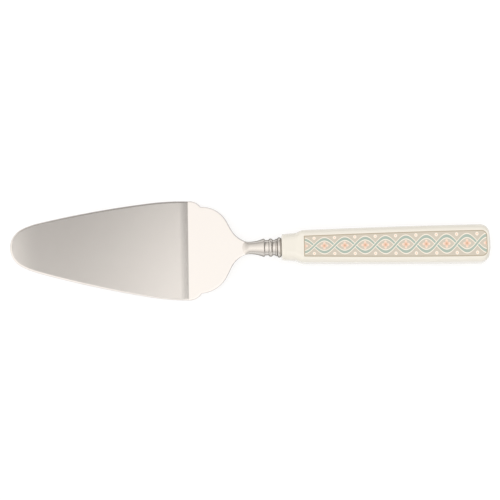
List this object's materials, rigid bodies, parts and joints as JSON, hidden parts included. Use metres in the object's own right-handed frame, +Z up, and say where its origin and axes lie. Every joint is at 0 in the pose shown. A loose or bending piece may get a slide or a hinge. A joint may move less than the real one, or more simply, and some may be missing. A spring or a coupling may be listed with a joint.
{
  "type": "cake server",
  "caption": "Cake server with a polished, round-tipped steel blade bent up at a scalloped heel, a ringed steel bolster and a glazed porcelain bar handle with a printed top panel.",
  "frame": {"origin": "middle of the server's length and width, on the table that it lies on", "axes": "+X from the tip of the blade to the end of the handle, +Z up from the table, with the printed panel facing up"},
  "size_m": [0.2498, 0.0528, 0.023],
  "materials": {
    "polished_steel": "polished",
    "turned_steel": "gloss",
    "plain_steel": "satin",
    "plaster": "matte",
    "porcelain": "gloss",
    "printed_glaze": "gloss"
  },
  "bodies": {
    "root": {"blade": "polished_steel", "neck": "turned_steel", "ferrule": "turned_steel", "tang": "plain_steel", "cement": "plaster", "handle": "porcelain", "printed_panel": "printed_glaze"}
  },
  "joints": []
}
